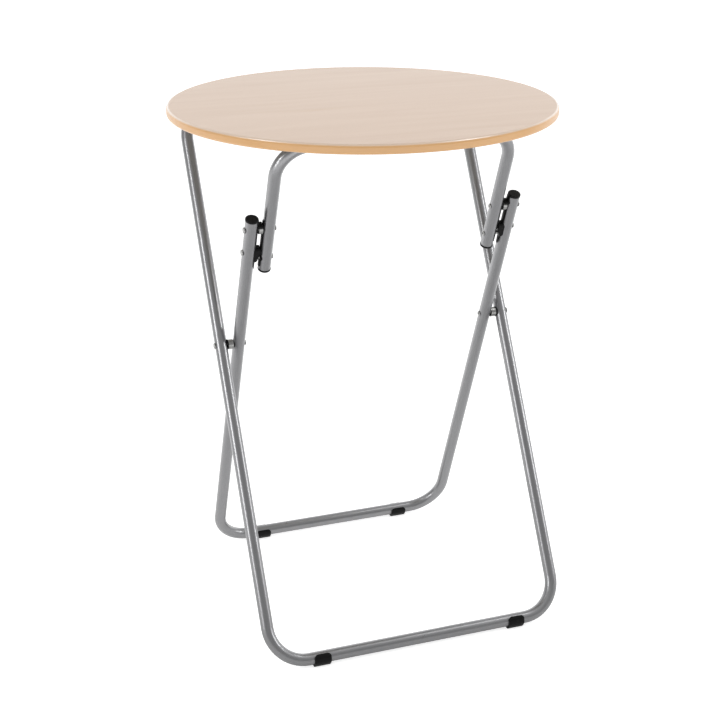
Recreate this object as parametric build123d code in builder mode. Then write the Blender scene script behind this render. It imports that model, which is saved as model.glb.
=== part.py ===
from build123d import *
import os
from math import cos, isclose, radians, sin

os.makedirs("parts", exist_ok=True)

# A folding tray table: a round board on two crossed leg frames and a short support frame, all of round tube.
# X runs along the bars, -Y is the front, +Z is up. The origin is on the floor under the middle of the board.

# Board
board_diameter = 500.0
board_thickness = 12.0
table_height = 676.0
board_edge_round = 4.0

# Tube of the three frames, with the bends measured to the centre line
tube_diameter = 16.0
tube_wall = 1.2
bend_radius = 48.0
support_bend_radius = 42.0

# Stance seen from the side: lean from upright, and where the two leg frames cross
outer_lean = 30.0
inner_lean = 22.8
pivot_height = 371.7
pivot_setback = -9.9

# Widths: the outer legs between centre lines, then the gaps inwards from tube to tube
outer_width = 400.0
scissor_gap = 8.0
fold_gap = 7.0

# Places along the inner leg: the fold rivet up from the scissor rivet, the clip's rivet and the latch pin down
# from the fold rivet, and the end of the support leg down from the latch pin
fold_distance = 188.0
latch_fixing_drop = 35.0
latch_drop = 44.5
support_tail = 21.0

# Clearances: pieces that sit together, pieces that turn on each other, and pieces that pass each other
seat_clearance = 0.1
hinge_clearance = 0.05
side_clearance = 0.2
run_clearance = 0.3

# Rivets and the stacks on them
rivet_diameter = 5.0
rivet_head_diameter = 8.0
rivet_head_height = 1.7
rivet_head_round = 1.3
rivet_tail_diameter = 7.0
rivet_tail_height = 1.1
rivet_tail_round = 0.7
rivet_dimple_diameter = 3.0
rivet_dimple_depth = 0.8
washer_diameter = 13.5
washer_thickness = 1.0
spacer_diameter = 13.0

# End plugs of the open tubes
plug_head = 3.0
plug_overhang = 0.4
plug_round = 1.2
plug_insert = 10.0
plug_relief = 2.0

# Feet, clipped round the foot bars with the gap upwards, which the front pair turns to the rear
foot_length = 22.0
foot_wall = 2.0
foot_corner = 5.0
foot_sole = 2.4
foot_sole_width = 8.0
foot_gap_half_angle = 62.0
front_foot_turn = 27.0
rear_foot_turn = 0.0
front_foot_inset = 5.0
rear_foot_inset = 9.0

# Curved shells that hug the inner and support legs where they face each other
shell_wall = 0.8
shell_width = 7.6

# Latch clip: a shell on the inner leg, a block with the pin's slot, and a hood over the fold spacer
latch_tail = 17.5
latch_tip_width = 3.0
latch_above = 16.5
latch_below = 6.0
latch_front = 6.0
latch_rear = 7.0
latch_round = 5.0
latch_flare = 1.6
latch_wedge = 9.0
hood_wall = 2.2
hood_rise = 4.2
hood_width = 11.0

# Keeper plate: the shell on the support leg
keeper_top = 13.0
keeper_end_gap = 4.0
keeper_round = 3.0
keeper_lobe_diameter = 11.4

# Hinges and clips under the board
hinge_offset = 60.0
hinge_length = 26.0
hinge_pad = 0.7
hinge_screw_margin = 7.0
hinge_ear = 7.0
hinge_corner = 3.0
strap_thickness = 2.6
clip_wall = 2.8
clip_lip = 5.0
clip_mouth_tilt = 17.0
clip_flange = 3.0
clip_screw_spacing = 14.0

# Screws of the hinges and clips
screw_diameter = 3.5
screw_head_diameter = 7.0
screw_head_height = 2.2
screw_bite = 8.0

# Tube radii and the leg half widths
tube_radius = tube_diameter / 2
bore_radius = tube_radius - tube_wall
outer_half = outer_width / 2
inner_half = outer_half - tube_diameter - scissor_gap
support_half = inner_half - tube_diameter - fold_gap

# Heights of the bars
foot_bar_height = foot_sole + seat_clearance + tube_radius
board_underside = table_height - board_thickness
hinge_bar_drop = hinge_pad + run_clearance + tube_radius
hinge_bar_height = board_underside - hinge_bar_drop

# Directions up the legs, and their lengths from the scissor pivot
across_legs = Vector(1, 0, 0)
outer_up = Vector(0, sin(radians(outer_lean)), cos(radians(outer_lean)))
inner_up = Vector(0, -sin(radians(inner_lean)), cos(radians(inner_lean)))
outer_drop = (pivot_height - foot_bar_height) / outer_up.Z
outer_rise = (hinge_bar_height - pivot_height) / outer_up.Z
inner_drop = (pivot_height - foot_bar_height) / inner_up.Z
support_rise = (hinge_bar_height - pivot_height) / inner_up.Z
inner_end = fold_distance + rivet_diameter / 2 + plug_relief + plug_insert + plug_head
latch_distance = fold_distance - latch_drop
support_end = latch_distance - support_tail

# Points in the middle plane that the pieces line up with
scissor_point = Vector(0, pivot_setback, pivot_height)
fold_point = scissor_point + inner_up * fold_distance
latch_point = scissor_point + inner_up * latch_distance
latch_fixing_point = fold_point - inner_up * latch_fixing_drop
front_bar = scissor_point + inner_up * support_rise
rear_bar = scissor_point + outer_up * outer_rise
front_foot_bar = scissor_point - outer_up * outer_drop
rear_foot_bar = scissor_point - inner_up * inner_drop

# Planes of the frames: their X is across the legs and their Y is up the leg
outer_plane = Plane(scissor_point, x_dir=across_legs, z_dir=across_legs.cross(outer_up))
inner_plane = Plane(scissor_point, x_dir=across_legs, z_dir=across_legs.cross(inner_up))

# Faces across the right side, from the outside inwards
outer_outside = outer_half + tube_radius
outer_inside = outer_half - tube_radius
inner_outside = inner_half + tube_radius
inner_inside = inner_half - tube_radius
shell_radius = tube_radius + seat_clearance + shell_wall
latch_face = inner_half - shell_radius
keeper_face = support_half + shell_radius
support_outside = support_half + tube_radius
support_inside = support_half - tube_radius


def facing_right(x, point):
    """Plane square to X through a point of the side view, with its X to the rear and its Y up."""
    return Plane((x, point.Y, point.Z), x_dir=(0, 1, 0), z_dir=(1, 0, 0))


def along_inner_leg(x, point):
    """Plane square to X through a point of the side view, with its X up the inner leg and its Y to the front."""
    return Plane((x, point.Y, point.Z), x_dir=inner_up, z_dir=(1, 0, 0))


def rivet(point, start, end, head_at, tail_at):
    """Shank along X from start to end, with a round head outside one end and a dimpled tail outside the other."""
    with BuildPart() as piece:
        with BuildSketch(facing_right(start, point)):
            Circle(rivet_diameter / 2)
        extrude(amount=end - start)
        for seat, diameter, height, rounding in (
            (head_at, rivet_head_diameter, rivet_head_height, rivet_head_round),
            (tail_at, rivet_tail_diameter, rivet_tail_height, rivet_tail_round),
        ):
            if seat is None:
                continue
            way = 1 if seat == end else -1
            with BuildSketch(facing_right(seat, point)):
                Circle(diameter / 2)
            extrude(amount=way * height)
            fillet(piece.edges().sort_by(Axis.X)[-1 if way > 0 else 0], rounding)
        if tail_at is not None:
            way = 1 if tail_at == end else -1
            with BuildSketch(facing_right(tail_at + way * rivet_tail_height, point)):
                Circle(rivet_dimple_diameter / 2)
            extrude(amount=-way * rivet_dimple_depth, mode=Mode.SUBTRACT)
    return piece


def ring(point, start, end, diameter):
    """Washer or spacer on a rivet, from start to end along X."""
    with BuildPart() as piece:
        with BuildSketch(facing_right(start, point)):
            Circle(diameter / 2)
            Circle(rivet_diameter / 2 + seat_clearance, mode=Mode.SUBTRACT)
        extrude(amount=end - start)
    return piece


def end_plug(x, distance, direction):
    """Plug in the end of an inner or support tube, with its head outwards from the given distance up the leg."""
    seat = Plane(scissor_point + across_legs * x + inner_up * distance, x_dir=across_legs, z_dir=direction)
    with BuildPart() as piece:
        with BuildSketch(seat):
            Circle(tube_radius + plug_overhang)
        extrude(amount=plug_head)
        fillet(piece.faces().sort_by(Axis(seat.origin, direction))[-1].edges(), plug_round)
        with BuildSketch(seat):
            Circle(bore_radius - seat_clearance)
        extrude(amount=-plug_insert)
    return piece


def foot(end, bar, turn):
    """Foot clipped round a foot bar, with a flat sole and its gap turned to the rear, from end inwards along X."""
    reach = 2 * tube_diameter
    gap_angles = [radians(turn + way * foot_gap_half_angle) for way in (-1, 0, 1)]
    with BuildPart() as piece:
        with BuildSketch(facing_right(end, bar)):
            Circle(tube_radius + seat_clearance + foot_wall)
            Rectangle(foot_sole_width, foot_bar_height, align=(Align.CENTER, Align.MAX))
            Circle(tube_radius + seat_clearance, mode=Mode.SUBTRACT)
            with BuildLine():
                Polyline((0, 0), *[(reach * sin(angle), reach * cos(angle)) for angle in gap_angles], close=True)
            make_face(mode=Mode.SUBTRACT)
        extrude(amount=-foot_length)
        gap_corners = piece.edges().filter_by(lambda edge: isclose(edge.length, foot_wall, abs_tol=0.001))
        fillet(gap_corners, foot_corner)
    return piece


def shell(half, outline):
    """Cuts a side-view outline, standing in the leg at half the frame's width, down to a shell round its tube."""
    with BuildPart() as piece:
        add(outline)
        with BuildSketch(Plane(scissor_point + across_legs * half, x_dir=across_legs, z_dir=inner_up)):
            Circle(shell_radius)
            Circle(tube_radius + seat_clearance, mode=Mode.SUBTRACT)
        extrude(amount=inner_end, mode=Mode.INTERSECT)
    return piece


# Outer leg frame: one closed loop of tube with the scissor rivet holes
with BuildPart() as outer_leg_frame:
    with BuildLine(outer_plane) as outer_path:
        FilletPolyline(
            (-outer_half, outer_rise),
            (-outer_half, -outer_drop),
            (outer_half, -outer_drop),
            (outer_half, outer_rise),
            radius=bend_radius,
            close=True,
        )
    with BuildSketch(Plane(outer_path.line @ 0, z_dir=outer_path.line % 0)):
        Circle(tube_radius)
        Circle(bore_radius, mode=Mode.SUBTRACT)
    sweep()
    with BuildSketch(facing_right(0, scissor_point)):
        Circle(rivet_diameter / 2 + seat_clearance)
    extrude(amount=outer_outside, both=True, mode=Mode.SUBTRACT)

# Feet of the outer frame and of the inner frame
front_foot = foot(outer_half - bend_radius - front_foot_inset, front_foot_bar, front_foot_turn)
rear_foot = foot(inner_half - bend_radius - rear_foot_inset, rear_foot_bar, rear_foot_turn)

# Scissor stack: a black washer against the outer leg, a spacer, then the inner leg with room to turn
scissor_tail = inner_inside - side_clearance
scissor_rivet = rivet(scissor_point, scissor_tail, outer_outside, outer_outside, scissor_tail)
scissor_washer = ring(scissor_point, outer_inside - washer_thickness, outer_inside, washer_diameter)
scissor_spacer = ring(
    scissor_point,
    inner_outside + side_clearance,
    outer_inside - washer_thickness,
    spacer_diameter,
)

# Inner leg frame: a U of tube with holes for the scissor, fold and latch clip rivets
with BuildPart() as inner_leg_frame:
    with BuildLine(inner_plane) as inner_path:
        FilletPolyline(
            (-inner_half, inner_end - plug_head),
            (-inner_half, -inner_drop),
            (inner_half, -inner_drop),
            (inner_half, inner_end - plug_head),
            radius=bend_radius,
        )
    with BuildSketch(Plane(inner_path.line @ 0, z_dir=inner_path.line % 0)):
        Circle(tube_radius)
        Circle(bore_radius, mode=Mode.SUBTRACT)
    sweep()
    for turning_point in (scissor_point, fold_point):
        with BuildSketch(facing_right(0, turning_point)):
            Circle(rivet_diameter / 2 + hinge_clearance)
        extrude(amount=inner_outside, both=True, mode=Mode.SUBTRACT)
    with BuildSketch(facing_right(0, latch_fixing_point)):
        Circle(rivet_diameter / 2 + seat_clearance)
    extrude(amount=inner_outside, both=True, mode=Mode.SUBTRACT)

inner_leg_plug = end_plug(inner_half, inner_end - plug_head, inner_up)

# Latch clip: a tapered shell that hugs the inner leg, a block whose slot lets the pin out to the rear, and a hood
shell_top = inner_end - plug_head - latch_distance
with BuildPart() as latch_outline:
    with BuildSketch(along_inner_leg(latch_face, latch_point)):
        with BuildLine():
            Polyline(
                (shell_top, shell_width / 2),
                (-latch_below, shell_width / 2),
                (-latch_tail, latch_tip_width / 2),
                (-latch_tail, -latch_tip_width / 2),
                (-latch_below, -shell_width / 2),
                (shell_top, -shell_width / 2),
                close=True,
            )
        make_face()
    extrude(amount=shell_radius)

with BuildPart() as latch_clip:
    add(shell(inner_half, latch_outline.part).part)
    block_face = keeper_face + run_clearance
    block_root = inner_half - tube_radius / 2
    with BuildSketch(along_inner_leg(block_face, latch_point)):
        with Locations(((latch_above - latch_below) / 2, (latch_front - latch_rear) / 2)):
            RectangleRounded(latch_above + latch_below, latch_front + latch_rear, latch_round)
        slot_half = rivet_diameter / 2 + run_clearance
        Circle(slot_half, mode=Mode.SUBTRACT)
        with BuildLine():
            Polyline(
                (-slot_half, 0),
                (slot_half, 0),
                (slot_half + latch_flare, -latch_rear),
                (-slot_half - latch_flare, -latch_rear),
                close=True,
            )
        make_face(mode=Mode.SUBTRACT)
    extrude(amount=block_root - block_face)
    with BuildSketch(inner_plane):
        with BuildLine():
            Polyline(
                (block_face, latch_distance - latch_below),
                (block_face, latch_distance + latch_wedge),
                (latch_face, latch_distance - latch_below),
                close=True,
            )
        make_face()
    extrude(amount=tube_diameter, both=True, mode=Mode.SUBTRACT)
    hood_bore = spacer_diameter / 2 + run_clearance
    with BuildSketch(along_inner_leg(block_face, fold_point)):
        Circle(hood_bore + hood_wall)
        Circle(hood_bore, mode=Mode.SUBTRACT)
        with Locations((hood_rise, 0)):
            Rectangle(2 * spacer_diameter, 2 * spacer_diameter, align=(Align.MAX, Align.CENTER), mode=Mode.SUBTRACT)
        Rectangle(2 * spacer_diameter, hood_width, mode=Mode.INTERSECT)
    extrude(amount=block_root - block_face)
    with BuildSketch(Plane(scissor_point + across_legs * inner_half, x_dir=across_legs, z_dir=inner_up)):
        Circle(tube_radius + seat_clearance)
    extrude(amount=inner_end, mode=Mode.SUBTRACT)
    for hole_point, clearance in ((latch_fixing_point, seat_clearance), (fold_point, run_clearance)):
        with BuildSketch(facing_right(latch_face, hole_point)):
            Circle(rivet_diameter / 2 + clearance)
        extrude(amount=tube_radius, mode=Mode.SUBTRACT)

latch_clip_rivet = rivet(latch_fixing_point, latch_face + side_clearance, inner_outside, inner_outside, None)

# Top support frame: an inverted U of tube, with holes for the fold rivets and the latch pins
with BuildPart() as top_support_frame:
    with BuildLine(inner_plane) as support_path:
        FilletPolyline(
            (-support_half, support_end + plug_head),
            (-support_half, support_rise),
            (support_half, support_rise),
            (support_half, support_end + plug_head),
            radius=support_bend_radius,
        )
    with BuildSketch(Plane(support_path.line @ 0, z_dir=support_path.line % 0)):
        Circle(tube_radius)
        Circle(bore_radius, mode=Mode.SUBTRACT)
    sweep()
    for rivet_point in (fold_point, latch_point):
        with BuildSketch(facing_right(0, rivet_point)):
            Circle(rivet_diameter / 2 + seat_clearance)
        extrude(amount=support_outside, both=True, mode=Mode.SUBTRACT)

support_plug = end_plug(support_half, support_end + plug_head, -inner_up)

# Fold stack: the rivet and its spacer turn with the support frame
fold_head = inner_outside + side_clearance
fold_rivet = rivet(fold_point, support_inside, fold_head, fold_head, support_inside)
fold_spacer = ring(fold_point, keeper_face, latch_face - side_clearance, spacer_diameter)

# Latch pin in the support leg, with its end in the clip's slot
latch_pin = rivet(latch_point, support_inside, latch_face - run_clearance, None, support_inside)

# Keeper plate: a shell between the support leg and the fold stack
with BuildPart() as keeper_outline:
    keeper_bottom = support_end + plug_head + keeper_end_gap
    keeper_length = fold_distance + keeper_top - keeper_bottom
    with BuildSketch(along_inner_leg(keeper_face, scissor_point)):
        with Locations((keeper_bottom + keeper_length / 2, 0)):
            RectangleRounded(keeper_length, shell_width, keeper_round)
        with Locations((latch_distance, 0)):
            Circle(keeper_lobe_diameter / 2)
    extrude(amount=-shell_radius)

with BuildPart() as keeper_plate:
    add(shell(support_half, keeper_outline.part).part)
    for rivet_point in (fold_point, latch_point):
        with BuildSketch(facing_right(keeper_face, rivet_point)):
            Circle(rivet_diameter / 2 + seat_clearance)
        extrude(amount=-tube_radius, mode=Mode.SUBTRACT)

# Screw places on the right side: one each side of the front bar, and a pair behind the rear bar
hinge_bore = tube_radius + run_clearance
hinge_screw_reach = hinge_bore + hinge_screw_margin
clip_rear = hinge_bore + clip_wall
clip_screw_reach = clip_rear + screw_head_diameter / 2 + hinge_screw_margin / 2
front_screws = [(hinge_offset, front_bar.Y + way * hinge_screw_reach) for way in (-1, 1)]
rear_screws = [
    (hinge_offset + way * clip_screw_spacing / 2, rear_bar.Y + clip_screw_reach) for way in (-1, 1)
]

# Front hinge: a base under the board and a strap below it, bored for the support frame's bar
hinge_half_width = hinge_screw_reach + hinge_ear
with BuildPart() as front_hinge_base:
    with BuildSketch(facing_right(hinge_offset - hinge_length / 2, front_bar)):
        Rectangle(2 * hinge_half_width, hinge_bar_drop, align=(Align.CENTER, Align.MIN))
        Circle(hinge_bore, mode=Mode.SUBTRACT)
    extrude(amount=hinge_length)
    fillet(front_hinge_base.edges().filter_by(Axis.Z), hinge_corner)
    with BuildSketch(Plane.XY.offset(hinge_bar_height)):
        with Locations(*front_screws):
            Circle(screw_diameter / 2 + seat_clearance)
    extrude(amount=hinge_bar_drop, mode=Mode.SUBTRACT)

with BuildPart() as front_hinge_strap:
    with BuildSketch(facing_right(hinge_offset - hinge_length / 2, front_bar)):
        Circle(hinge_bore + strap_thickness)
        Rectangle(2 * hinge_half_width, strap_thickness, align=(Align.CENTER, Align.MAX))
        Circle(hinge_bore, mode=Mode.SUBTRACT)
        Rectangle(
            2 * hinge_half_width,
            2 * hinge_half_width,
            align=(Align.CENTER, Align.MIN),
            mode=Mode.SUBTRACT,
        )
    extrude(amount=hinge_length)
    fillet(front_hinge_strap.edges().filter_by(Axis.Z), hinge_corner)
    with BuildSketch(Plane.XY.offset(hinge_bar_height)):
        with Locations(*front_screws):
            Circle(screw_diameter / 2 + seat_clearance)
    extrude(amount=-strap_thickness, mode=Mode.SUBTRACT)

# Rear clip: a cradle for the outer frame's bar with its mouth down and to the rear, and a screwed flange behind
with BuildPart() as rear_clip:
    with BuildSketch(facing_right(hinge_offset - hinge_length / 2, rear_bar)):
        with BuildLine():
            Polyline(
                (-clip_rear, hinge_bar_drop),
                (-clip_rear, -clip_lip),
                (0, -clip_lip),
                (0, hinge_bore * sin(radians(clip_mouth_tilt))),
                (clip_rear, hinge_bore * sin(radians(clip_mouth_tilt))),
                (clip_rear, hinge_bar_drop - clip_flange),
                (clip_screw_reach + screw_head_diameter / 2 + clip_wall, hinge_bar_drop - clip_flange),
                (clip_screw_reach + screw_head_diameter / 2 + clip_wall, hinge_bar_drop),
                close=True,
            )
        make_face()
        Circle(hinge_bore, mode=Mode.SUBTRACT)
        Rectangle(
            2 * hinge_bore,
            2 * hinge_bore,
            rotation=clip_mouth_tilt,
            align=(Align.CENTER, Align.MAX),
            mode=Mode.SUBTRACT,
        )
    extrude(amount=hinge_length)
    fillet(rear_clip.edges().filter_by(Axis.Z).sort_by(Axis.Y)[-2:], hinge_corner)
    with BuildSketch(Plane.XY.offset(board_underside)):
        with Locations(*rear_screws):
            Circle(screw_diameter / 2 + seat_clearance)
    extrude(amount=-clip_flange, mode=Mode.SUBTRACT)

# Screws of both sides, with their heads under the straps and the flanges
with BuildPart() as hinge_screws:
    for places, head_seat in (
        (front_screws, hinge_bar_height - strap_thickness),
        (rear_screws, board_underside - clip_flange),
    ):
        both_sides = [(way * x, y) for x, y in places for way in (-1, 1)]
        with BuildSketch(Plane.XY.offset(head_seat)):
            with Locations(*both_sides):
                Circle(screw_diameter / 2)
        extrude(amount=board_underside + screw_bite - head_seat)
        with BuildSketch(Plane.XY.offset(head_seat)):
            with Locations(*both_sides):
                Circle(screw_head_diameter / 2)
        extrude(amount=-screw_head_height)

# Board: a disc with both rims rounded, and blind holes for the screws
with BuildPart() as tabletop_board:
    with BuildSketch(Plane.XY.offset(board_underside)):
        Circle(board_diameter / 2)
    extrude(amount=board_thickness)
    fillet(tabletop_board.edges().filter_by(GeomType.CIRCLE), board_edge_round)
    with BuildSketch(Plane.XY.offset(board_underside)):
        with Locations(*[(way * x, y) for x, y in front_screws + rear_screws for way in (-1, 1)]):
            Circle(screw_diameter / 2 + seat_clearance)
    extrude(amount=screw_bite + seat_clearance, mode=Mode.SUBTRACT)

# Pieces that cross the middle are written as they are
whole_pieces = {
    "outer_leg_frame": outer_leg_frame,
    "inner_leg_frame": inner_leg_frame,
    "top_support_frame": top_support_frame,
    "tabletop_board": tabletop_board,
    "hinge_screws": hinge_screws,
}
for name, piece in whole_pieces.items():
    piece.part.label = name
    export_step(piece.part, f"parts/{name}.step")

# The others are made on the right and mirrored to the left
right_pieces = {
    "front_foot": front_foot,
    "rear_foot": rear_foot,
    "scissor_rivet": scissor_rivet,
    "scissor_washer": scissor_washer,
    "scissor_spacer": scissor_spacer,
    "inner_leg_plug": inner_leg_plug,
    "latch_clip": latch_clip,
    "latch_clip_rivet": latch_clip_rivet,
    "support_plug": support_plug,
    "fold_rivet": fold_rivet,
    "fold_spacer": fold_spacer,
    "latch_pin": latch_pin,
    "keeper_plate": keeper_plate,
    "front_hinge_base": front_hinge_base,
    "front_hinge_strap": front_hinge_strap,
    "rear_clip": rear_clip,
}
for name, piece in right_pieces.items():
    piece.part.label = f"{name}_right"
    export_step(piece.part, f"parts/{name}_right.step")
    with BuildPart() as left_piece:
        mirror(piece.part, about=Plane.YZ)
    left_piece.part.label = f"{name}_left"
    export_step(left_piece.part, f"parts/{name}_left.step")
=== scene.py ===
from math import cos, pi, radians, sin, sqrt

import bmesh
import bpy
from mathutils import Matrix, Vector


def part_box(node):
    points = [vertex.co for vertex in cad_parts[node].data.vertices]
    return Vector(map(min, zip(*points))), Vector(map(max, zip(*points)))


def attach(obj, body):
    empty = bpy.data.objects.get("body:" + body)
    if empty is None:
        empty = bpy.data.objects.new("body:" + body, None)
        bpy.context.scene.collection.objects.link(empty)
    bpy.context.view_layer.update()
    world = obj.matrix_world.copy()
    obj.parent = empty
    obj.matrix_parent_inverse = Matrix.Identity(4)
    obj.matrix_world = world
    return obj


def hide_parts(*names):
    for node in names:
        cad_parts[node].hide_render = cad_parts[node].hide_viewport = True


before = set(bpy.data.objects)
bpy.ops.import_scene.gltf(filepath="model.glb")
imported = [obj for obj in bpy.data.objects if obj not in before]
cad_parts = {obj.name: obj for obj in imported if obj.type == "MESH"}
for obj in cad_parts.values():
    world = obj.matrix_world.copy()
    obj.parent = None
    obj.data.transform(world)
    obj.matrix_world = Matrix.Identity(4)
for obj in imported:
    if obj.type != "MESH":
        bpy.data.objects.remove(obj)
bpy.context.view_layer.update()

# Outer leg frame: one loop of 16 mm steel tube, bent at four corners and butt-welded under the board.
# It is sprayed with silver paint, whose flakes and slight orange peel show close up, and baked.
# The scissor rivets go through its two long sides, and its top bar snaps into the rear clips.


def add(tree, kind, inputs=None, **settings):
    """Adds a node, sets its properties, and links or sets its inputs by name or number."""
    node = tree.nodes.new(kind)
    for name, value in settings.items():
        setattr(node, name, value)
    for name, value in (inputs or {}).items():
        if isinstance(value, bpy.types.NodeSocket):
            tree.links.new(value, node.inputs[name])
        else:
            node.inputs[name].default_value = value
    return node


def maths(tree, operation, *values):
    """The result of a maths node on one or two values."""
    return add(tree, "ShaderNodeMath", dict(enumerate(values)), operation=operation).outputs[0]


def ranged(tree, value, start=(0.0, 1.0), end=(0.0, 1.0), **settings):
    """A value led from the start range to the end range, and held inside it."""
    inputs = {"Value": value, "From Min": start[0], "From Max": start[1], "To Min": end[0], "To Max": end[1]}
    return add(tree, "ShaderNodeMapRange", inputs, **settings).outputs[0]


def noise(tree, spot, scale, detail, distortion=0.0):
    """Cloudy noise from 0 to 1."""
    inputs = {"Vector": spot, "Scale": scale, "Detail": detail, "Distortion": distortion}
    return add(tree, "ShaderNodeTexNoise", inputs).outputs["Fac"]


def shaded(tree, colour, by):
    """A colour made lighter or darker by a factor."""
    return add(tree, "ShaderNodeVectorMath", {0: colour, "Scale": by}, operation="SCALE").outputs[0]


def bumped(tree, height, strength, distance):
    """A normal that follows a height."""
    inputs = {"Strength": strength, "Distance": distance, "Height": height}
    return add(tree, "ShaderNodeBump", inputs).outputs["Normal"]


def object_spot(tree):
    """The place on the surface, in the object's own coordinates."""
    return add(tree, "ShaderNodeTexCoord").outputs["Object"]


def wire(tree, sockets, **sources):
    """Links node outputs to the sockets of the same names."""
    for label, source in sources.items():
        tree.links.new(source, sockets[label.replace("_", " ")])


def shared_effect(name, inputs, outputs):
    """An empty shader group with named inputs, as name to (socket type, default), and named outputs."""
    group = bpy.data.node_groups.new(name, "ShaderNodeTree")
    for label, (kind, default) in inputs.items():
        group.interface.new_socket(label, in_out="INPUT", socket_type=kind).default_value = default
    for label, kind in outputs.items():
        group.interface.new_socket(label, in_out="OUTPUT", socket_type=kind)
    return group, group.nodes.new("NodeGroupInput").outputs, group.nodes.new("NodeGroupOutput").inputs


def finish(name, **sockets):
    """A material with one Principled shader, with the sockets that are the same all over set on it."""
    material = bpy.data.materials.new(name)
    material.use_nodes = True
    tree = material.node_tree
    shader = tree.nodes["Principled BSDF"]
    for label, value in sockets.items():
        shader.inputs[label.replace("_", " ")].default_value = value
    return material, tree, shader


def dress(material, *nodes):
    """Puts a material on every slot of the named CAD nodes."""
    for node in nodes:
        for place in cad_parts[node].material_slots:
            place.material = material


# The sprayed coat: aluminium flakes, soft clouds where the gun overlapped, and orange peel in the lacquer
sprayed_coat, given, wanted = shared_effect(
    "sprayed_coat",
    {
        "Color": ("NodeSocketColor", (0.3, 0.3, 0.3, 1.0)),
        "Roughness": ("NodeSocketFloat", 0.3),
        "Flake Scale": ("NodeSocketFloat", 2600.0),
        "Cloud Scale": ("NodeSocketFloat", 12.0),
        "Peel Scale": ("NodeSocketFloat", 420.0),
    },
    {"Color": "NodeSocketColor", "Roughness": "NodeSocketFloat", "Height": "NodeSocketFloat"},
)
spot = object_spot(sprayed_coat)
flakes = add(sprayed_coat, "ShaderNodeTexVoronoi", {"Vector": spot, "Scale": given["Flake Scale"]})
flake = ranged(sprayed_coat, flakes.outputs["Color"], end=(0.88, 1.12))
clouds = noise(sprayed_coat, spot, given["Cloud Scale"], 3.0)
cloud = ranged(sprayed_coat, clouds, end=(0.95, 1.05))
shade = maths(sprayed_coat, "MULTIPLY", flake, cloud)
gloss = ranged(sprayed_coat, clouds, end=(-0.05, 0.05))
wire(
    sprayed_coat,
    wanted,
    Color=shaded(sprayed_coat, given["Color"], shade),
    Roughness=maths(sprayed_coat, "ADD", gloss, given["Roughness"]),
    Height=noise(sprayed_coat, spot, given["Peel Scale"], 1.0),
)

# Rub marks from stacking and handling: thin broken hairlines, as a mask from none to full
rub_marks, given, wanted = shared_effect(
    "rub_marks",
    {
        "Scale": ("NodeSocketFloat", 60.0),
        "Stretch": ("NodeSocketVector", (1.0, 1.0, 0.08)),
        "Amount": ("NodeSocketFloat", 0.3),
    },
    {"Mask": "NodeSocketFloat"},
)
spot = object_spot(rub_marks)
drawn = add(rub_marks, "ShaderNodeVectorMath", {0: spot, 1: given["Stretch"]}, operation="MULTIPLY")
crest = ranged(rub_marks, noise(rub_marks, drawn.outputs[0], given["Scale"], 6.0), start=(0.62, 0.72))
patch = ranged(rub_marks, noise(rub_marks, spot, 9.0, 2.0), start=(0.45, 0.65))
broken = maths(rub_marks, "MULTIPLY", crest, patch)
wire(rub_marks, wanted, Mask=maths(rub_marks, "MULTIPLY", broken, given["Amount"]))


def silver_paint(name, cloud_scale, peel_scale):
    """Silver paint on one of the tube frames, with clouds of its own so that no two frames match."""
    material, tree, shader = finish(name, Metallic=1.0, Coat_Weight=0.7, Coat_Roughness=0.25)
    silver = (0.333, 0.334, 0.343, 1.0)
    sprayed = {"Color": silver, "Roughness": 0.34, "Cloud Scale": cloud_scale, "Peel Scale": peel_scale}
    coat = add(tree, "ShaderNodeGroup", sprayed, node_tree=sprayed_coat).outputs
    rubs = add(tree, "ShaderNodeGroup", {"Amount": 0.12}, node_tree=rub_marks).outputs
    wire(
        tree,
        shader.inputs,
        Base_Color=coat["Color"],
        Roughness=maths(tree, "SUBTRACT", coat["Roughness"], rubs["Mask"]),
        Normal=bumped(tree, coat["Height"], 0.06, 0.0005),
    )
    return material


outer_paint = silver_paint("outer_tube_silver", 12.0, 420.0)
dress(outer_paint, "outer_leg_frame")

# Feet: four black moulded clips, 22 mm long, snapped round the foot bars with the gap upwards.
# The gap's corners are rounded, the rims are broken by the mould, and a narrow flat sole meets the floor.
# The front pair follows the lean of the outer frame, so its gap looks to the rear.

# The mould's skin: a fine spark-eroded grain with slow changes in its gloss
moulded_grain, given, wanted = shared_effect(
    "moulded_grain",
    {
        "Color": ("NodeSocketColor", (0.01, 0.01, 0.01, 1.0)),
        "Roughness": ("NodeSocketFloat", 0.45),
        "Grain Scale": ("NodeSocketFloat", 1800.0),
    },
    {"Color": "NodeSocketColor", "Roughness": "NodeSocketFloat", "Height": "NodeSocketFloat"},
)
spot = object_spot(moulded_grain)
flow = noise(moulded_grain, spot, 130.0, 3.0, distortion=0.6)
flow_shade = ranged(moulded_grain, flow, end=(0.7, 1.3))
sheen = ranged(moulded_grain, flow, end=(-0.09, 0.09))
wire(
    moulded_grain,
    wanted,
    Color=shaded(moulded_grain, given["Color"], flow_shade),
    Roughness=maths(moulded_grain, "ADD", sheen, given["Roughness"]),
    Height=noise(moulded_grain, spot, given["Grain Scale"], 2.0),
)


def blended(tree, share, start, end):
    """A colour between two others, by a share from 0 to 1."""
    return add(tree, "ShaderNodeMix", {"Factor": share, 6: start, 7: end}, data_type="RGBA").outputs[2]


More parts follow.
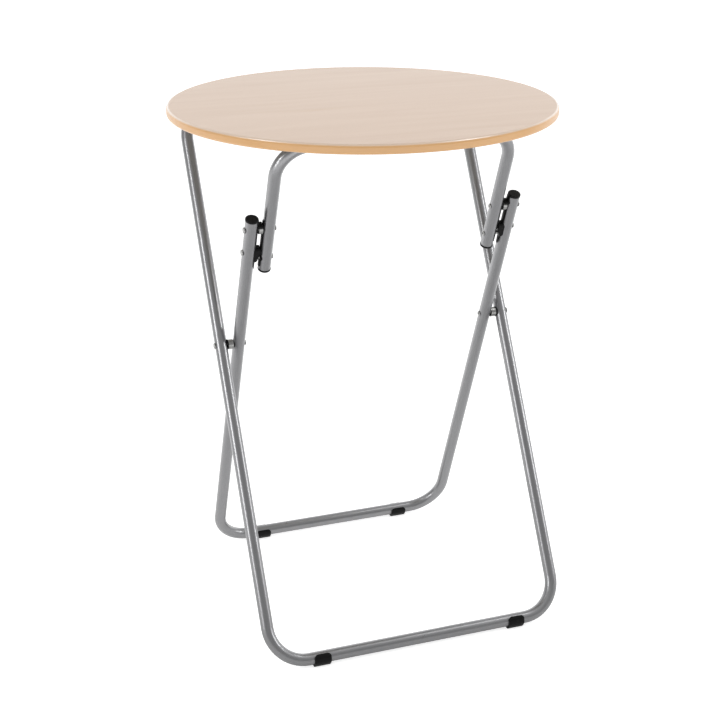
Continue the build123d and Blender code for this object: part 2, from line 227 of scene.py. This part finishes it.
def black_plastic(name, black, roughness, grain_scale, rubbed):
    """Black moulded plastic, with hairline rubs that catch a little light."""
    material, tree, shader = finish(name, Specular_IOR_Level=0.16)
    rub_grey = (0.09, 0.09, 0.09, 1.0)
    cool_black = (black, black, black * 1.04, 1.0)
    moulded = {"Color": cool_black, "Roughness": roughness, "Grain Scale": grain_scale}
    skin = add(tree, "ShaderNodeGroup", moulded, node_tree=moulded_grain).outputs
    hairlines = {"Scale": 240.0, "Stretch": (0.15, 1.0, 1.0), "Amount": rubbed}
    rubs = add(tree, "ShaderNodeGroup", hairlines, node_tree=rub_marks).outputs
    wire(
        tree,
        shader.inputs,
        Base_Color=blended(tree, rubs["Mask"], skin["Color"], rub_grey),
        Roughness=skin["Roughness"],
        Normal=bumped(tree, skin["Height"], 0.12, 0.0003),
    )
    return material


def new_piece(name, mesh):
    """An object at the origin for a finished mesh."""
    piece = bpy.data.objects.new(name, mesh)
    bpy.context.scene.collection.objects.link(piece)
    return piece


def settled(piece):
    """Turns a piece's modifiers into plain mesh."""
    graph = bpy.context.evaluated_depsgraph_get()
    mesh = bpy.data.meshes.new_from_object(piece.evaluated_get(graph))
    piece.modifiers.clear()
    piece.data = mesh


foot_plastic = black_plastic("foot_black", 0.006, 0.33, 1800.0, 0.35)
tube_radius = 0.008
foot_inner = 0.0081
foot_outer = 0.0101
foot_corner = 0.005
foot_gap = radians(62)
foot_sole_half = 0.0035
foot_sole_blend = 0.0035
foot_columns, foot_rows = 72, 16
foot_rim = 0.0005
foot_rim_steps = 3
foot_rim_angle = radians(50)
front_foot_turn = radians(27)


def foot_wall(mesh, radius, x0, x1, bar_y, bar_z, turn):
    """One wall of a foot as columns of points, drawn in at the gap's corners and flat under the bar."""
    sweep = 2 * (pi - foot_gap)
    wall = []
    for i in range(foot_columns + 1):
        share = (1 - cos(pi * i / foot_columns)) / 2
        angle = turn + foot_gap + sweep * share
        edge = min(share, 1 - share) * sweep * foot_outer
        inset = foot_corner - sqrt(max(foot_corner**2 - max(foot_corner - edge, 0) ** 2, 0))
        y, z = bar_y + radius * sin(angle), bar_z + radius * cos(angle)
        if radius == foot_outer and z < bar_z:
            flat = min(max(1 - (abs(y - bar_y) - foot_sole_half) / foot_sole_blend, 0), 1)
            z *= 1 - flat * flat * (3 - 2 * flat)
        start, length = x0 + inset, x1 - x0 - 2 * inset
        wall.append([mesh.verts.new((start + length * j / foot_rows, y, z)) for j in range(foot_rows + 1)])
    return wall


def clip_foot(node, body, bar_y, bar_z, turn):
    """A foot bent round its bar from one side of the gap to the other, between the ends of its CAD node."""
    (x0, _, _), (x1, _, _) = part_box(node)
    mesh = bmesh.new()
    outside = foot_wall(mesh, foot_outer, x0, x1, bar_y, bar_z, turn)
    inside = foot_wall(mesh, foot_inner, x0, x1, bar_y, bar_z, turn)
    for i in range(foot_columns):
        for j in range(foot_rows):
            mesh.faces.new((outside[i][j], outside[i][j + 1], outside[i + 1][j + 1], outside[i + 1][j]))
            mesh.faces.new((inside[i][j], inside[i + 1][j], inside[i + 1][j + 1], inside[i][j + 1]))
        for j in (0, foot_rows):
            mesh.faces.new((outside[i][j], outside[i + 1][j], inside[i + 1][j], inside[i][j]))
    for j in range(foot_rows):
        for i in (0, foot_columns):
            mesh.faces.new((outside[i][j], outside[i][j + 1], inside[i][j + 1], inside[i][j]))
    bmesh.ops.recalc_face_normals(mesh, faces=mesh.faces)
    for face in mesh.faces:
        face.smooth = True
    name = f"{node}_moulded"
    shape = bpy.data.meshes.new(name)
    mesh.to_mesh(shape)
    mesh.free()
    shape.materials.append(foot_plastic)
    piece = new_piece(name, shape)
    rim = piece.modifiers.new("rim", "BEVEL")
    rim.width = foot_rim
    rim.segments = foot_rim_steps
    rim.limit_method = "ANGLE"
    rim.angle_limit = foot_rim_angle
    rim.harden_normals = True
    settled(piece)
    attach(piece, body)
    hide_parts(node)


outer_low, outer_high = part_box("outer_leg_frame")
inner_low, inner_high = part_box("inner_leg_frame")
front_bar = (outer_low[1] + tube_radius, outer_low[2] + tube_radius)
rear_bar = (inner_high[1] - tube_radius, inner_low[2] + tube_radius)
for side in ("left", "right"):
    clip_foot(f"front_foot_{side}", "outer_legs", *front_bar, front_foot_turn)
    clip_foot(f"rear_foot_{side}", "inner_legs", *rear_bar, 0.0)

# Scissor joint: on each side a rivet through both legs, its round head outside and its tail spread inside.
# Between the legs sit a thin black plastic washer, against the outer leg, and a turned steel spacer.
# Rivets and spacers are bright zinc-plated, with the fine rings of the lathe still showing.

# Lathe rings round an axis along X: a fine ripple in the height and the gloss
turned_rings, given, wanted = shared_effect(
    "turned_rings",
    {
        "Color": ("NodeSocketColor", (0.6, 0.6, 0.6, 1.0)),
        "Roughness": ("NodeSocketFloat", 0.25),
        "Ring Scale": ("NodeSocketFloat", 900.0),
    },
    {"Color": "NodeSocketColor", "Roughness": "NodeSocketFloat", "Height": "NodeSocketFloat"},
)
spot = object_spot(turned_rings)
across = add(turned_rings, "ShaderNodeSeparateXYZ", {"Vector": spot}).outputs["X"]
feed = add(turned_rings, "ShaderNodeCombineXYZ", {"X": across}).outputs[0]
stain = noise(turned_rings, spot, 260.0, 4.0)
stain_shade = ranged(turned_rings, stain, end=(0.78, 1.15))
dull = ranged(turned_rings, stain, end=(-0.08, 0.1))
wire(
    turned_rings,
    wanted,
    Color=shaded(turned_rings, given["Color"], stain_shade),
    Roughness=maths(turned_rings, "ADD", dull, given["Roughness"]),
    Height=noise(turned_rings, feed, given["Ring Scale"], 2.0),
)


def zinc_plate(name, bright, roughness, ring_scale):
    """Bright zinc on turned steel."""
    material, tree, shader = finish(name, Metallic=1.0)
    zinc = (bright, bright, bright * 0.985, 1.0)
    turned = {"Color": zinc, "Roughness": roughness, "Ring Scale": ring_scale}
    plate = add(tree, "ShaderNodeGroup", turned, node_tree=turned_rings).outputs
    wire(
        tree,
        shader.inputs,
        Base_Color=plate["Color"],
        Roughness=plate["Roughness"],
        Normal=bumped(tree, plate["Height"], 0.15, 0.0002),
    )
    return material


rivet_zinc = zinc_plate("rivet_zinc", 0.45, 0.3, 700.0)
dress(rivet_zinc, "scissor_rivet_left", "scissor_rivet_right")


def sized_tree(name, sizes):
    """An empty geometry tree that takes places and a material, and named sizes with their defaults."""
    tree = bpy.data.node_groups.new(name, "GeometryNodeTree")
    tree.interface.new_socket("Places", in_out="INPUT", socket_type="NodeSocketGeometry")
    for label, default in sizes.items():
        size = tree.interface.new_socket(label, in_out="INPUT", socket_type="NodeSocketFloat")
        size.default_value = default
    tree.interface.new_socket("Finish", in_out="INPUT", socket_type="NodeSocketMaterial")
    tree.interface.new_socket("Pieces", in_out="OUTPUT", socket_type="NodeSocketGeometry")
    return tree, tree.nodes.new("NodeGroupInput").outputs, tree.nodes.new("NodeGroupOutput").inputs


def led_round(tree, path_radius, path_steps, width, height, rounding, round_steps):
    """A rectangle with rounded corners, led round a circle about Z."""
    path = add(tree, "GeometryNodeCurvePrimitiveCircle", {"Resolution": path_steps, "Radius": path_radius})
    section = add(tree, "GeometryNodeCurvePrimitiveQuadrilateral", {"Width": width, "Height": height})
    corners = {"Curve": section.outputs[0], "Count": round_steps, "Radius": rounding}
    rounded = add(tree, "GeometryNodeFilletCurve", corners, mode="POLY")
    curves = {"Curve": path.outputs[0], "Profile Curve": rounded.outputs[0]}
    return add(tree, "GeometryNodeCurveToMesh", curves).outputs[0]


def set_out(tree, given, wanted, shape):
    """Ends a tree: the shape at each place, as real mesh with smooth faces and the given finish."""
    placed = add(tree, "GeometryNodeInstanceOnPoints", {"Points": given["Places"], "Instance": shape})
    real = add(tree, "GeometryNodeRealizeInstances", {"Geometry": placed.outputs[0]})
    smooth = add(tree, "GeometryNodeSetShadeSmooth", {"Geometry": real.outputs[0]})
    done = add(tree, "GeometryNodeSetMaterial", {"Geometry": smooth.outputs[0], "Material": given["Finish"]})
    tree.links.new(done.outputs[0], wanted["Pieces"])


def repeated(name, tree, places, material, **sizes):
    """A piece made by a tree at the given places, as one plain mesh."""
    mesh = bpy.data.meshes.new(name)
    mesh.from_pydata(places, [], [])
    piece = new_piece(name, mesh)
    maker = piece.modifiers.new("maker", "NODES")
    maker.node_group = tree
    for socket in tree.interface.items_tree:
        label = socket.name.replace(" ", "_").lower()
        if socket.in_out == "INPUT" and label in sizes:
            maker[socket.identifier] = sizes[label]
        if socket.in_out == "INPUT" and label == "finish":
            maker[socket.identifier] = material
    flat = piece.modifiers.new("flat_faces", "WEIGHTED_NORMAL")
    flat.keep_sharp = True
    settled(piece)
    return piece


# A turned ring is its wall's section, with broken edges, led round the rivet
rivet_bore = 0.0052
ring_steps, ring_edge_steps = 72, 4
ring_tree, given, wanted = sized_tree(
    "turned_ring",
    {"Outer Diameter": 0.013, "Bore": rivet_bore, "Length": 0.005, "Edge Round": 0.0003},
)
both = maths(ring_tree, "ADD", given["Outer Diameter"], given["Bore"])
middle = maths(ring_tree, "DIVIDE", both, 4.0)
apart = maths(ring_tree, "SUBTRACT", given["Outer Diameter"], given["Bore"])
wall = maths(ring_tree, "DIVIDE", apart, 2.0)
ring = led_round(
    ring_tree, middle, ring_steps, wall, given["Length"], given["Edge Round"], ring_edge_steps
)
on_rivet = add(ring_tree, "GeometryNodeTransform", {"Geometry": ring, "Rotation": (0.0, pi / 2, 0.0)})
set_out(ring_tree, given, wanted, on_rivet.outputs[0])


def rivet_rings(nodes, name, body, material, edge_round):
    """Rings in the places of a left and a right CAD ring, and of their size."""
    boxes = [(Vector(low), Vector(high)) for low, high in (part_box(node) for node in nodes)]
    size = boxes[0][1] - boxes[0][0]
    piece = repeated(
        name,
        ring_tree,
        [(low + high) / 2 for low, high in boxes],
        material,
        outer_diameter=size.y,
        bore=rivet_bore,
        length=size.x,
        edge_round=edge_round,
    )
    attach(piece, body)
    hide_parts(*nodes)


washer_edge = 0.0002
spacer_edge = 0.0004
spacer_zinc = zinc_plate("spacer_zinc", 0.4, 0.3, 1500.0)
washer_plastic = black_plastic("washer_black", 0.006, 0.4, 2400.0, 0.2)
rivet_rings(
    ("scissor_washer_left", "scissor_washer_right"),
    "scissor_washers_moulded", "outer_legs", washer_plastic, washer_edge,
)
rivet_rings(
    ("scissor_spacer_left", "scissor_spacer_right"),
    "scissor_spacers_turned", "outer_legs", spacer_zinc, spacer_edge,
)

# Weld bead: it closes the loop of the outer frame, in the middle of the top bar and under the board.
# It is ground down to a low band with rounded edges, rooted in the tube's wall and painted with the tube.
weld_width = 0.005
weld_proud = 0.0004
weld_root = 0.0005
weld = repeated(
    "outer_frame_weld",
    ring_tree,
    [(0.0, outer_high[1] - tube_radius, outer_high[2] - tube_radius)],
    outer_paint,
    outer_diameter=2 * (tube_radius + weld_proud),
    bore=2 * (tube_radius - weld_root),
    length=weld_width,
    edge_round=weld_proud,
)
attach(weld, "outer_legs")

# Inner leg frame: a U of the same painted tube, open at its two upper ends.
# It turns on the scissor rivets inside the outer frame, and its foot bar stands behind.
inner_paint = silver_paint("inner_tube_silver", 14.0, 435.0)
dress(inner_paint, "inner_leg_frame")

# End plugs: black caps with a rounded rim, pressed into the upper ends of the inner legs.
# They are moulded a little wider than the tube, and are smoother on top than the feet.
plug_plastic = black_plastic("plug_black", 0.007, 0.38, 1500.0, 0.3)
dress(plug_plastic, "inner_leg_plug_left", "inner_leg_plug_right")

# Latch clips: black mouldings that hug the inner legs on the inside, each held by a rivet through the leg.
# A hood reaches over the fold spacer, and a block with a slot holds the pin of the support frame.
latch_plastic = black_plastic("latch_black", 0.005, 0.44, 2000.0, 0.25)
dress(latch_plastic, "latch_clip_left", "latch_clip_right")
dress(rivet_zinc, "latch_clip_rivet_left", "latch_clip_rivet_right")

# Top support frame: a short inverted U of the same painted tube, whose bar turns in the front hinges.
# It hangs on the inner legs by the fold rivets, and its lower ends are closed by the same black plugs.
support_paint = silver_paint("support_tube_silver", 17.0, 410.0)
dress(support_paint, "top_support_frame")
dress(plug_plastic, "support_plug_left", "support_plug_right")

# Fold joint and latch: on each side a fold rivet with a turned spacer, and below it the latch pin.
# A thin black keeper plate lies along the support leg behind both, so that the paint isn't rubbed.
dress(rivet_zinc, "fold_rivet_left", "fold_rivet_right", "latch_pin_left", "latch_pin_right")
rivet_rings(
    ("fold_spacer_left", "fold_spacer_right"),
    "fold_spacers_turned", "top_support", spacer_zinc, spacer_edge,
)
dress(latch_plastic, "keeper_plate_left", "keeper_plate_right")

# Board: a 12 mm fibreboard disc with both rims rounded, with a beech-print foil over its top and edge.
# The foil is glossy, so it mirrors the room at a low angle. Underneath is a plain pale backing paper.
# The foil ends in a fine line where the lower rounding meets the underside.
board_low, board_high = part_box("tabletop_board")
board_top = board_high[2]
beech_light = (0.60, 0.373, 0.208, 1.0)
beech_dark = (0.575, 0.35, 0.192, 1.0)
beech_fleck = (0.50, 0.29, 0.15, 1.0)
# The edge's beech is painted lighter than the top's: painted light for the side lamps that the edge catches
beech_edge_painted_lit = (0.76, 0.432, 0.182, 1.0)
# A pale beech for the painted highlight on the upper rounding
rim_highlight_colour = (0.92, 0.76, 0.62, 1.0)
backing_paper = (0.40, 0.375, 0.34)
foil, tree, shader = finish("beech_foil", Coat_Roughness=0.12, Coat_IOR=1.9)
spot = object_spot(tree)
height = add(tree, "ShaderNodeSeparateXYZ", {"Vector": spot}).outputs["Z"]

# The print: long soft bands of growth, and short darker flecks along them
band_stretch = (1.3, 16.0, 1.0)
fleck_stretch = (110.0, 700.0, 1.0)
banded = add(tree, "ShaderNodeMapping", {"Vector": spot, "Scale": band_stretch}).outputs[0]
bands = noise(tree, banded, 3.0, 5.0, distortion=0.35)
printed = blended(tree, ranged(tree, bands, start=(0.3, 0.7)), beech_light, beech_dark)
flecked = add(tree, "ShaderNodeMapping", {"Vector": spot, "Scale": fleck_stretch}).outputs[0]
specks = add(tree, "ShaderNodeTexVoronoi", {"Vector": flecked, "Scale": 1.0}, feature="F1")
speck = ranged(tree, specks.outputs["Distance"], start=(0.12, 0.34), end=(0.35, 0.0))
fleck_print = blended(tree, speck, printed, beech_fleck)

# The foil round the edge is painted brighter and plainer than the top; the brighter edge is painted light
# for the lamps it faces. The upper rounding carries a pale band, a painted highlight for the lamps' glints
# and the room's sheen
rim_start, rim_end = (board_top - drop for drop in (0.0002, 0.0016))
rounding_top, rounding_middle, rounding_end = (board_top - drop for drop in (0.0, 0.0004, 0.0022))
rim_highlight_strength = 0.8
foil_colour = blended(tree, ranged(tree, height, start=(rim_start, rim_end)), fleck_print, beech_edge_painted_lit)
rounding_in = ranged(tree, height, start=(rounding_top, rounding_middle))
rounding_out = ranged(tree, height, start=(rounding_middle, rounding_end), end=(1.0, 0.0))
upper_rounding = maths(tree, "MULTIPLY", rounding_in, rounding_out)
# Painted highlight: the pale beech is laid over the upper rounding, whose band also sets the coat below
painted_rim_highlight = maths(tree, "MULTIPLY", upper_rounding, rim_highlight_strength)
rim_highlighted_colour = blended(tree, painted_rim_highlight, foil_colour, rim_highlight_colour)

# The paper underneath is fibrous, and starts at the end of the foil
foil_end = board_low[2] + 0.0003
fibre_shade = ranged(tree, noise(tree, spot, 420.0, 4.0), end=(0.8, 1.2))
paper = shaded(tree, backing_paper, fibre_shade)
under = maths(tree, "LESS_THAN", height, foil_end)
board_colour = blended(tree, under, rim_highlighted_colour, paper)


def mixed(tree, share, start, end):
    """A value between two others, by a share from 0 to 1."""
    return add(tree, "ShaderNodeMix", {0: share, 2: start, 3: end}).outputs[0]


# The press leaves the foil slightly wavy, the paper is matt, and the top has a few wipe marks
paper_roughness = 0.75
wipe_marks = {"Scale": 40.0, "Stretch": (0.12, 1.0, 1.0), "Amount": 0.06}
wipes = add(tree, "ShaderNodeGroup", wipe_marks, node_tree=rub_marks).outputs["Mask"]
wiped = maths(tree, "ADD", ranged(tree, bands, end=(0.26, 0.34)), wipes)
foil_coat = ranged(tree, upper_rounding, end=(0.3, 1.0))
wire(
    tree,
    shader.inputs,
    Base_Color=board_colour,
    Roughness=mixed(tree, under, wiped, paper_roughness),
    Coat_Weight=mixed(tree, under, foil_coat, 0.0),
    Normal=bumped(tree, noise(tree, spot, 95.0, 2.0), 0.02, 0.0008),
)

# The board itself: half its section, with the two outer corners rounded, led once round the middle
board_edge = 0.004
board_steps, board_edge_steps = 360, 12
same_point = 0.000001
board_tree, given, wanted = sized_tree(
    "turned_board", {"Diameter": 0.5, "Thickness": 0.012, "Edge Round": board_edge}
)
half_board = maths(board_tree, "DIVIDE", given["Diameter"], 2.0)
half_way = maths(board_tree, "DIVIDE", given["Diameter"], 4.0)
section_spot = add(board_tree, "GeometryNodeInputPosition").outputs[0]
section_x = add(board_tree, "ShaderNodeSeparateXYZ", {"Vector": section_spot}).outputs["X"]
on_outside = maths(board_tree, "GREATER_THAN", section_x, 0.0)
rounding = maths(board_tree, "MULTIPLY", on_outside, given["Edge Round"])
disc = led_round(
    board_tree, half_way, board_steps, half_board, given["Thickness"], rounding, board_edge_steps
)

# At the middle the section closes on itself, and the line left between the two faces is taken out
closed = add(board_tree, "GeometryNodeMergeByDistance", {"Geometry": disc, "Distance": same_point})
faces_beside = add(board_tree, "GeometryNodeInputMeshEdgeNeighbors").outputs[0]
bare = maths(board_tree, "LESS_THAN", faces_beside, 0.5)
bare_edges = {"Geometry": closed.outputs[0], "Selection": bare}
board_shape = add(board_tree, "GeometryNodeDeleteGeometry", bare_edges, domain="EDGE", mode="EDGE_FACE")
set_out(board_tree, given, wanted, board_shape.outputs[0])
board = repeated(
    "tabletop_board_foiled",
    board_tree,
    [(0.0, 0.0, (board_low[2] + board_high[2]) / 2)],
    foil,
    diameter=2 * min(board_high[0], -board_low[0]),
    thickness=board_high[2] - board_low[2],
    edge_round=board_edge,
)
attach(board, "tabletop")
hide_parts("tabletop_board")

# Front hinges and rear clips: black mouldings screwed under the board, out of sight from in front.
# The front pair are bases with straps that the support bar turns in; the rear pair are open cradles
# that the outer frame's bar snaps into and leaves when the table is folded.
hinge_plastic = black_plastic("hinge_black", 0.008, 0.46, 1600.0, 0.25)
for side in ("left", "right"):
    dress(hinge_plastic, f"front_hinge_base_{side}", f"front_hinge_strap_{side}", f"rear_clip_{side}")

# Hinge screws: zinc-plated pan heads with a cross recess, all eight of one size.
# They are driven up through the straps and flanges into the board.
screw_zinc = zinc_plate("screw_zinc", 0.62, 0.26, 900.0)
screw_tree, given, wanted = sized_tree(
    "cross_recess_screw",
    {
        "Head Diameter": 0.007,
        "Head Height": 0.0022,
        "Shank Diameter": 0.0035,
        "Shank Length": 0.012,
        "Recess Width": 0.0011,
        "Recess Span": 0.0042,
        "Recess Depth": 0.0013,
    },
)

# The head is a ball squashed to a low dome with a flat seat
head_radius = maths(screw_tree, "DIVIDE", given["Head Diameter"], 2.0)
ball = add(screw_tree, "GeometryNodeMeshUVSphere", {"Segments": 64, "Rings": 48, "Radius": head_radius})
ball_spot = add(screw_tree, "GeometryNodeInputPosition").outputs[0]
at = add(screw_tree, "ShaderNodeSeparateXYZ", {"Vector": ball_spot}).outputs
relative = maths(screw_tree, "DIVIDE", at["Z"], head_radius)
squashed = maths(screw_tree, "MULTIPLY", relative, given["Head Height"])
seated = maths(screw_tree, "MAXIMUM", squashed, 0.0)

# The recess is pressed where either arm of the cross lies, with walls that slope a little
half_width = maths(screw_tree, "DIVIDE", given["Recess Width"], 2.0)
arm_wall = maths(screw_tree, "MULTIPLY", half_width, 0.75)
half_span = maths(screw_tree, "DIVIDE", given["Recess Span"], 2.0)
span_wall = maths(screw_tree, "MULTIPLY", half_span, 0.85)
arms = []
for wide, long in (("X", "Y"), ("Y", "X")):
    off_line = maths(screw_tree, "ABSOLUTE", at[wide])
    along_line = maths(screw_tree, "ABSOLUTE", at[long])
    in_width = ranged(screw_tree, off_line, start=(arm_wall, half_width), end=(1.0, 0.0))
    in_span = ranged(screw_tree, along_line, start=(span_wall, half_span), end=(1.0, 0.0))
    arms.append(maths(screw_tree, "MULTIPLY", in_width, in_span))
cross = maths(screw_tree, "MAXIMUM", *arms)
pressed = maths(screw_tree, "MULTIPLY", cross, given["Recess Depth"])
dome = maths(screw_tree, "SUBTRACT", seated, pressed)
on_dome = maths(screw_tree, "MAXIMUM", dome, 0.0)
head_spot = add(screw_tree, "ShaderNodeCombineXYZ", {"X": at["X"], "Y": at["Y"], "Z": on_dome}).outputs[0]
head = add(screw_tree, "GeometryNodeSetPosition", {"Geometry": ball.outputs["Mesh"], "Position": head_spot})

# The shank hangs from the seat, and the whole screw is turned head down
shank_radius = maths(screw_tree, "DIVIDE", given["Shank Diameter"], 2.0)
shank_sizes = {"Vertices": 32, "Radius": shank_radius, "Depth": given["Shank Length"]}
shank = add(screw_tree, "GeometryNodeMeshCylinder", shank_sizes).outputs["Mesh"]
sunk = maths(screw_tree, "DIVIDE", given["Shank Length"], -2.0)
sunk_by = add(screw_tree, "ShaderNodeCombineXYZ", {"Z": sunk}).outputs[0]
lowered = add(screw_tree, "GeometryNodeTransform", {"Geometry": shank, "Translation": sunk_by})
whole = add(screw_tree, "GeometryNodeJoinGeometry")
for half in (head, lowered):
    screw_tree.links.new(half.outputs[0], whole.inputs[0])
driven = add(screw_tree, "GeometryNodeTransform", {"Geometry": whole.outputs[0], "Rotation": (pi, 0.0, 0.0)})
set_out(screw_tree, given, wanted, driven.outputs[0])

hinge_x = 0.060
base_height = 0.009
ear_thickness = 0.0026
ear_margin = 0.007
flange_thickness = 0.003
flange_margin = 0.0063
flange_half_pitch = 0.007
strap_low, strap_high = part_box("front_hinge_strap_right")
base_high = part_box("front_hinge_base_right")[1]
clip_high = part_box("rear_clip_right")[1]
ear_seat = base_high[2] - base_height - ear_thickness
ear_rows = (strap_low[1] + ear_margin, strap_high[1] - ear_margin)
flange_seat = clip_high[2] - flange_thickness
flange_row = clip_high[1] - flange_margin
flange_steps = (-flange_half_pitch, flange_half_pitch)
ear_places = [(way * hinge_x, row, ear_seat) for way in (-1, 1) for row in ear_rows]
flange_places = [(way * hinge_x + step, flange_row, flange_seat) for way in (-1, 1) for step in flange_steps]
screws = repeated("hinge_screws_driven", screw_tree, ear_places + flange_places, screw_zinc)
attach(screws, "tabletop")
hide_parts("hinge_screws")

# Studio: a white floor that runs out to a white room, with a tall and a high softbox on each side.
# The room is bright behind the table, which gives the foil its sheen and the tubes their light rims.
# The floor's glow, as the table sees it, is painted shade for the table's own shade: none just in front of
# the feet.
floor_reach = 14.0
floor_seen = 0.7
floor_mesh = bpy.data.meshes.new("studio_floor")
floor_corners = [(x * floor_reach, y * floor_reach, 0.0) for x, y in ((-1, -1), (1, -1), (1, 1), (-1, 1))]
floor_mesh.from_pydata(floor_corners, [], [(0, 1, 2, 3)])
floor_white, tree, shader = finish(
    "studio_white",
    Base_Color=(0.8, 0.8, 0.8, 1.0),
    Roughness=0.85,
    Specular_IOR_Level=0.1,
    Emission_Color=(1.0, 1.0, 1.0, 1.0),
)
depth = add(tree, "ShaderNodeSeparateXYZ", {"Vector": object_spot(tree)}).outputs["Y"]
# Painted shade: the glow the floor gives the table is left out just in front of the feet and rises behind
# and farther out
painted_glow_behind = ranged(tree, depth, start=(-0.35, 0.55), end=(0.0, 0.55))
painted_glow_in_front = ranged(tree, depth, start=(-0.55, -1.0), end=(0.0, 0.66))
spill = maths(tree, "ADD", painted_glow_behind, painted_glow_in_front)
seen = add(tree, "ShaderNodeLightPath").outputs["Is Camera Ray"]
wire(tree, shader.inputs, Emission_Strength=ranged(tree, seen, end=(spill, floor_seen)))
floor_mesh.materials.append(floor_white)
new_piece("studio_floor", floor_mesh)

# The room: white to the camera, and to the table a grey that lightens upwards, with a glow on the back wall
away_from_camera = (0.342, 0.940, 0.0)
back_glow = 1.3
room_levels = ((0.0, 0.38), (0.42, 0.38), (0.6, 0.45), (0.74, 0.56), (0.92, 0.65))
world = bpy.data.worlds.new("studio_room")
bpy.context.scene.world = world
world.use_nodes = True
tree = world.node_tree
way = add(tree, "ShaderNodeTexCoord").outputs["Generated"]
rise = add(tree, "ShaderNodeSeparateXYZ", {"Vector": way}).outputs["Z"]
facing = add(tree, "ShaderNodeVectorMath", {0: way, 1: away_from_camera}, operation="DOT_PRODUCT")
back_wall = ranged(tree, facing.outputs["Value"], start=(0.15, 0.85), interpolation_type="SMOOTHSTEP")
low_wall = ranged(tree, rise, start=(0.75, 0.35), interpolation_type="SMOOTHSTEP")
glow = maths(tree, "MULTIPLY", back_wall, low_wall)
upwards = add(tree, "ShaderNodeValToRGB", {"Fac": rise})
marks = upwards.color_ramp.elements
for stop, (up_to, level) in enumerate(room_levels):
    mark = marks[stop] if stop < 2 else marks.new(up_to)
    mark.position = up_to
    mark.color = (level, level, level, 1.0)
room = ranged(tree, glow, end=(upwards.outputs["Color"], back_glow))
seen = add(tree, "ShaderNodeLightPath").outputs["Is Camera Ray"]
wire(tree, tree.nodes["Background"].inputs, Color=mixed(tree, seen, room, 1.0))


def reach(name, piece, state):
    """What a lamp reaches: one piece alone (INCLUDE), or everything but that piece (EXCLUDE)."""
    lit_pieces = bpy.data.collections.new(name)
    lit_pieces.objects.link(piece)
    lit_pieces.collection_objects[0].light_linking.link_state = state
    return lit_pieces


def softbox(name, place, aim, size, power, reached=None, in_gloss=True, on_matt=True):
    """A soft rectangular lamp that lights the table and shows in its gloss, but not in the picture."""
    lamp = bpy.data.lights.new(name, "AREA")
    lamp.shape = "RECTANGLE"
    lamp.size, lamp.size_y = size
    lamp.energy = power
    holder = bpy.data.objects.new(name, lamp)
    bpy.context.scene.collection.objects.link(holder)
    holder.location = place
    holder.rotation_euler = (Vector(aim) - Vector(place)).to_track_quat("-Z", "Y").to_euler()
    holder.visible_camera = False
    holder.visible_glossy = in_gloss
    holder.visible_diffuse = on_matt
    holder.light_linking.receiver_collection = reached


# The tall softboxes draw the long streaks on the tubes. They are kept off the board, which gets only a spill
off_board = reach("off_board", board, "EXCLUDE")
on_board = reach("on_board", board, "INCLUDE")
tall_left = ((-2.2, -0.6, 1.125), (-0.2, -0.03, 1.125), (0.4, 1.55))
tall_right = ((2.27, -1.04, 1.335), (0.2, -0.03, 1.335), (0.4, 1.43))
softbox("softbox_left", *tall_left, 13.8, off_board)
softbox("softbox_right", *tall_right, 15.4, off_board)
softbox("spill_left", *tall_left, 10, on_board, in_gloss=False)
softbox("spill_right", *tall_right, 15, on_board, in_gloss=False)

# The high softboxes light everything from above, and their glints draw the two highlights on the board's rim
board_aim = (0.0, 0.0, 0.676)
high_size, high_power = (0.6, 0.4), 4
glint_size, glint_power = (0.8, 0.6), 7
for side, place in (("left", (-1.33, 0.235, 2.41)), ("right", (1.25, -0.335, 2.456))):
    softbox(f"softbox_high_{side}", place, board_aim, high_size, high_power)
    softbox(f"glint_{side}", place, board_aim, glint_size, glint_power, on_board, on_matt=False)

# Camera: at the photograph's view, a little to the left of the front and looking down.
# Its focal length was found in pixels of the photograph, and is turned into millimetres here.
camera_place = (-0.6558, -1.78987, 1.05502)
camera_down, camera_round = 0.36753, 0.34945
focal_pixels, photo_pixels = 1497.726, 720
sensor_width = 36.0
camera = bpy.data.objects.new("camera", bpy.data.cameras.new("camera"))
bpy.context.scene.collection.objects.link(camera)
camera.location = camera_place
camera.rotation_euler = (pi / 2 - camera_down, 0.0, -camera_round)
camera.data.sensor_width = sensor_width
camera.data.lens = focal_pixels / photo_pixels * sensor_width
bpy.context.scene.camera = camera
bpy.context.scene.view_settings.view_transform = "Standard"
